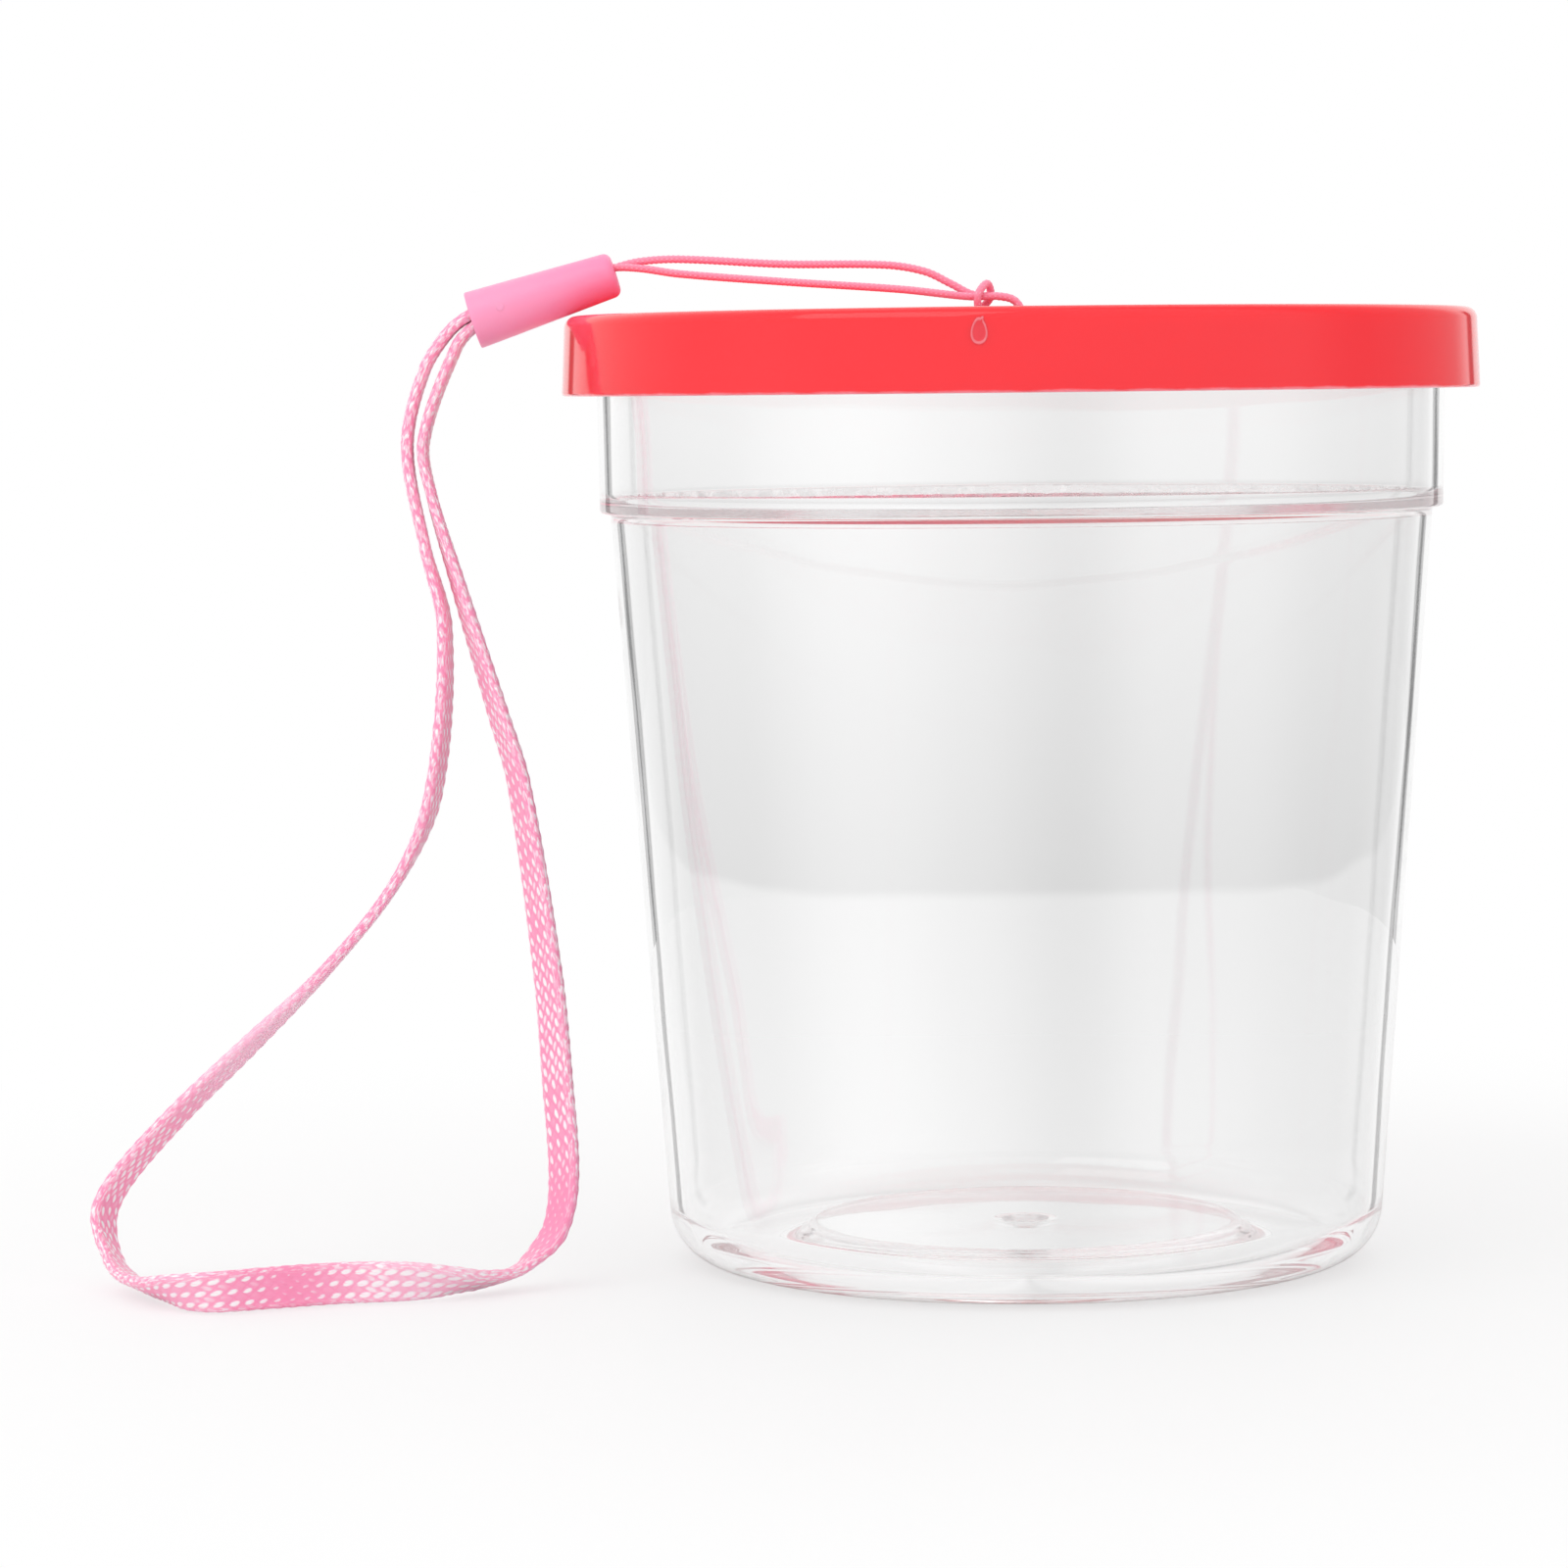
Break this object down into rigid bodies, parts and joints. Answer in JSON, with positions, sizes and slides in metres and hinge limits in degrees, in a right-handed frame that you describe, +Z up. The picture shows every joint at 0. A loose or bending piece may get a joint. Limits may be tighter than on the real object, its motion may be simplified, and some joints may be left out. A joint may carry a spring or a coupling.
{
  "type": "insect breeding cup",
  "caption": "Clear tapered plastic cup with a red push-on vented lid and a pink wrist strap hitched through the lid, for keeping and watching insects.",
  "frame": {"origin": "middle of the foot ring, on the surface that the cup stands on", "axes": "+Z up along the cup's axis, -X towards the side where the wrist strap hangs, -Y towards the viewer"},
  "size_m": [0.1407, 0.093, 0.1028],
  "materials": {
    "clear_plastic": "clear polished moulded polystyrene",
    "red_plastic": "glossy moulded polyethylene, slightly translucent",
    "pink_string": "fine round braided nylon string",
    "pink_plastic": "soft translucent moulded plastic",
    "joint_bond": "set adhesive round the cord ends",
    "pink_braid": "flat braided nylon, pink with lighter flecks"
  },
  "bodies": {
    "cup": {"cup": "clear_plastic"},
    "lid": {"lid": "red_plastic", "strap_string": "pink_string", "strap_sleeve": "pink_plastic", "sleeve_joint": "joint_bond", "wrist_braid": "pink_braid"}
  },
  "joints": [
    {"name": "lid_lift", "type": "slide", "parent": "cup", "child": "lid", "axis": [0, 0, 1], "range_m": [0, 0.08]}
  ]
}
